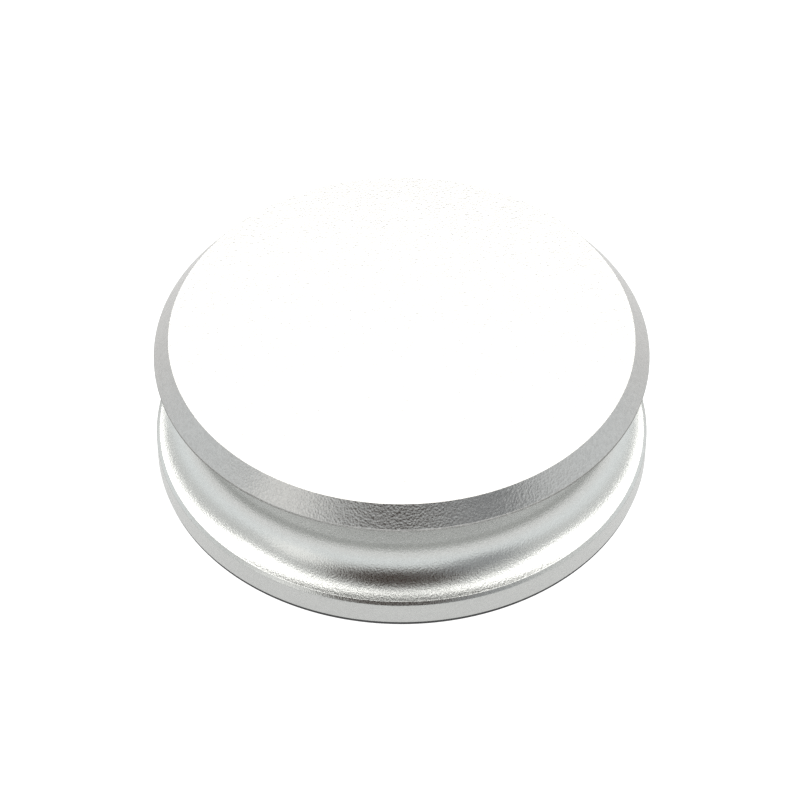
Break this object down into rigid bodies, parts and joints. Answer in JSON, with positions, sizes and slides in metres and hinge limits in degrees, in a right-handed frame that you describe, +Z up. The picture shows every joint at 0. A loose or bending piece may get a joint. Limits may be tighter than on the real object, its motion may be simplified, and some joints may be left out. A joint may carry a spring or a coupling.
{
  "type": "banding wheel",
  "caption": "Low banding wheel: a round bevelled aluminium head turns freely on a spool-shaped base, over a spindle in two ball bearings.",
  "frame": {"origin": "on the table, under the spindle's centre, at the bottom of the non-slip ring", "axes": "+Z up along the spindle, which the head turns about; the wheel is round, so +X and +Y only run through the screws"},
  "size_m": [0.116, 0.116, 0.036],
  "materials": {
    "anodised_aluminium": "bead-blasted and clear anodised, satin, with a fine sparkle",
    "spindle_steel": "turned and ground",
    "bearing_steel": "ground and polished",
    "cage_steel": "pressed, matt",
    "zinc_fastener": "bright zinc plate",
    "rubber": "moulded, matt black"
  },
  "bodies": {
    "base": {"base_body": "anodised_aluminium", "bottom_cover": "anodised_aluminium", "non_slip_ring": "rubber", "cover_screw_1": "zinc_fastener", "cover_screw_2": "zinc_fastener", "cover_screw_3": "zinc_fastener", "cover_screw_4": "zinc_fastener", "upper_bearing_outer_ring": "bearing_steel", "upper_bearing_top_shield": "bearing_steel", "upper_bearing_bottom_shield": "bearing_steel", "lower_bearing_outer_ring": "bearing_steel", "lower_bearing_top_shield": "bearing_steel", "lower_bearing_bottom_shield": "bearing_steel"},
    "head": {"wheel_head": "anodised_aluminium", "spindle": "spindle_steel", "inner_ring_spacer": "spindle_steel", "retaining_washer": "zinc_fastener", "retaining_bolt": "zinc_fastener", "flange_screw_1": "zinc_fastener", "flange_screw_2": "zinc_fastener", "flange_screw_3": "zinc_fastener", "flange_screw_4": "zinc_fastener", "upper_bearing_inner_ring": "bearing_steel", "lower_bearing_inner_ring": "bearing_steel"},
    "upper_cage": {"upper_bearing_cage": "cage_steel"},
    "upper_ball_1": {"upper_bearing_ball_1": "bearing_steel"},
    "upper_ball_2": {"upper_bearing_ball_2": "bearing_steel"},
    "upper_ball_3": {"upper_bearing_ball_3": "bearing_steel"},
    "upper_ball_4": {"upper_bearing_ball_4": "bearing_steel"},
    "upper_ball_5": {"upper_bearing_ball_5": "bearing_steel"},
    "upper_ball_6": {"upper_bearing_ball_6": "bearing_steel"},
    "upper_ball_7": {"upper_bearing_ball_7": "bearing_steel"},
    "upper_ball_8": {"upper_bearing_ball_8": "bearing_steel"},
    "upper_ball_9": {"upper_bearing_ball_9": "bearing_steel"},
    "upper_ball_10": {"upper_bearing_ball_10": "bearing_steel"},
    "lower_cage": {"lower_bearing_cage": "cage_steel"},
    "lower_ball_1": {"lower_bearing_ball_1": "bearing_steel"},
    "lower_ball_2": {"lower_bearing_ball_2": "bearing_steel"},
    "lower_ball_3": {"lower_bearing_ball_3": "bearing_steel"},
    "lower_ball_4": {"lower_bearing_ball_4": "bearing_steel"},
    "lower_ball_5": {"lower_bearing_ball_5": "bearing_steel"},
    "lower_ball_6": {"lower_bearing_ball_6": "bearing_steel"},
    "lower_ball_7": {"lower_bearing_ball_7": "bearing_steel"},
    "lower_ball_8": {"lower_bearing_ball_8": "bearing_steel"},
    "lower_ball_9": {"lower_bearing_ball_9": "bearing_steel"},
    "lower_ball_10": {"lower_bearing_ball_10": "bearing_steel"}
  },
  "joints": [
    {"name": "head_spin", "type": "hinge", "parent": "base", "child": "head", "pos_m": [0, 0, 0.0234], "axis": [0, 0, 1], "continuous": true},
    {"name": "upper_cage_orbit", "type": "hinge", "parent": "base", "child": "upper_cage", "pos_m": [0, 0, 0.0234], "axis": [0, 0, 1], "continuous": true},
    {"name": "upper_ball_1_roll", "type": "hinge", "parent": "upper_cage", "child": "upper_ball_1", "pos_m": [0.01075, 0, 0.0234], "axis": [0, 0, 1], "continuous": true},
    {"name": "upper_ball_2_roll", "type": "hinge", "parent": "upper_cage", "child": "upper_ball_2", "pos_m": [0.0087, 0.00632, 0.0234], "axis": [0, 0, 1], "continuous": true},
    {"name": "upper_ball_3_roll", "type": "hinge", "parent": "upper_cage", "child": "upper_ball_3", "pos_m": [0.00332, 0.01022, 0.0234], "axis": [0, 0, 1], "continuous": true},
    {"name": "upper_ball_4_roll", "type": "hinge", "parent": "upper_cage", "child": "upper_ball_4", "pos_m": [-0.00332, 0.01022, 0.0234], "axis": [0, 0, 1], "continuous": true},
    {"name": "upper_ball_5_roll", "type": "hinge", "parent": "upper_cage", "child": "upper_ball_5", "pos_m": [-0.0087, 0.00632, 0.0234], "axis": [0, 0, 1], "continuous": true},
    {"name": "upper_ball_6_roll", "type": "hinge", "parent": "upper_cage", "child": "upper_ball_6", "pos_m": [-0.01075, 0, 0.0234], "axis": [0, 0, 1], "continuous": true},
    {"name": "upper_ball_7_roll", "type": "hinge", "parent": "upper_cage", "child": "upper_ball_7", "pos_m": [-0.0087, -0.00632, 0.0234], "axis": [0, 0, 1], "continuous": true},
    {"name": "upper_ball_8_roll", "type": "hinge", "parent": "upper_cage", "child": "upper_ball_8", "pos_m": [-0.00332, -0.01022, 0.0234], "axis": [0, 0, 1], "continuous": true},
    {"name": "upper_ball_9_roll", "type": "hinge", "parent": "upper_cage", "child": "upper_ball_9", "pos_m": [0.00332, -0.01022, 0.0234], "axis": [0, 0, 1], "continuous": true},
    {"name": "upper_ball_10_roll", "type": "hinge", "parent": "upper_cage", "child": "upper_ball_10", "pos_m": [0.0087, -0.00632, 0.0234], "axis": [0, 0, 1], "continuous": true},
    {"name": "lower_cage_orbit", "type": "hinge", "parent": "base", "child": "lower_cage", "pos_m": [0, 0, 0.0134], "axis": [0, 0, 1], "continuous": true},
    {"name": "lower_ball_1_roll", "type": "hinge", "parent": "lower_cage", "child": "lower_ball_1", "pos_m": [0.01075, 0, 0.0134], "axis": [0, 0, 1], "continuous": true},
    {"name": "lower_ball_2_roll", "type": "hinge", "parent": "lower_cage", "child": "lower_ball_2", "pos_m": [0.0087, 0.00632, 0.0134], "axis": [0, 0, 1], "continuous": true},
    {"name": "lower_ball_3_roll", "type": "hinge", "parent": "lower_cage", "child": "lower_ball_3", "pos_m": [0.00332, 0.01022, 0.0134], "axis": [0, 0, 1], "continuous": true},
    {"name": "lower_ball_4_roll", "type": "hinge", "parent": "lower_cage", "child": "lower_ball_4", "pos_m": [-0.00332, 0.01022, 0.0134], "axis": [0, 0, 1], "continuous": true},
    {"name": "lower_ball_5_roll", "type": "hinge", "parent": "lower_cage", "child": "lower_ball_5", "pos_m": [-0.0087, 0.00632, 0.0134], "axis": [0, 0, 1], "continuous": true},
    {"name": "lower_ball_6_roll", "type": "hinge", "parent": "lower_cage", "child": "lower_ball_6", "pos_m": [-0.01075, 0, 0.0134], "axis": [0, 0, 1], "continuous": true},
    {"name": "lower_ball_7_roll", "type": "hinge", "parent": "lower_cage", "child": "lower_ball_7", "pos_m": [-0.0087, -0.00632, 0.0134], "axis": [0, 0, 1], "continuous": true},
    {"name": "lower_ball_8_roll", "type": "hinge", "parent": "lower_cage", "child": "lower_ball_8", "pos_m": [-0.00332, -0.01022, 0.0134], "axis": [0, 0, 1], "continuous": true},
    {"name": "lower_ball_9_roll", "type": "hinge", "parent": "lower_cage", "child": "lower_ball_9", "pos_m": [0.00332, -0.01022, 0.0134], "axis": [0, 0, 1], "continuous": true},
    {"name": "lower_ball_10_roll", "type": "hinge", "parent": "lower_cage", "child": "lower_ball_10", "pos_m": [0.0087, -0.00632, 0.0134], "axis": [0, 0, 1], "continuous": true}
  ],
  "couplings": [
    {"joint": "upper_cage_orbit", "follows": "head_spin", "ratio": 0.40767},
    {"joint": "upper_ball_1_roll", "follows": "head_spin", "ratio": -2.6155},
    {"joint": "upper_ball_2_roll", "follows": "head_spin", "ratio": -2.6155},
    {"joint": "upper_ball_3_roll", "follows": "head_spin", "ratio": -2.6155},
    {"joint": "upper_ball_4_roll", "follows": "head_spin", "ratio": -2.6155},
    {"joint": "upper_ball_5_roll", "follows": "head_spin", "ratio": -2.6155},
    {"joint": "upper_ball_6_roll", "follows": "head_spin", "ratio": -2.6155},
    {"joint": "upper_ball_7_roll", "follows": "head_spin", "ratio": -2.6155},
    {"joint": "upper_ball_8_roll", "follows": "head_spin", "ratio": -2.6155},
    {"joint": "upper_ball_9_roll", "follows": "head_spin", "ratio": -2.6155},
    {"joint": "upper_ball_10_roll", "follows": "head_spin", "ratio": -2.6155},
    {"joint": "lower_cage_orbit", "follows": "head_spin", "ratio": 0.40767},
    {"joint": "lower_ball_1_roll", "follows": "head_spin", "ratio": -2.6155},
    {"joint": "lower_ball_2_roll", "follows": "head_spin", "ratio": -2.6155},
    {"joint": "lower_ball_3_roll", "follows": "head_spin", "ratio": -2.6155},
    {"joint": "lower_ball_4_roll", "follows": "head_spin", "ratio": -2.6155},
    {"joint": "lower_ball_5_roll", "follows": "head_spin", "ratio": -2.6155},
    {"joint": "lower_ball_6_roll", "follows": "head_spin", "ratio": -2.6155},
    {"joint": "lower_ball_7_roll", "follows": "head_spin", "ratio": -2.6155},
    {"joint": "lower_ball_8_roll", "follows": "head_spin", "ratio": -2.6155},
    {"joint": "lower_ball_9_roll", "follows": "head_spin", "ratio": -2.6155},
    {"joint": "lower_ball_10_roll", "follows": "head_spin", "ratio": -2.6155}
  ]
}
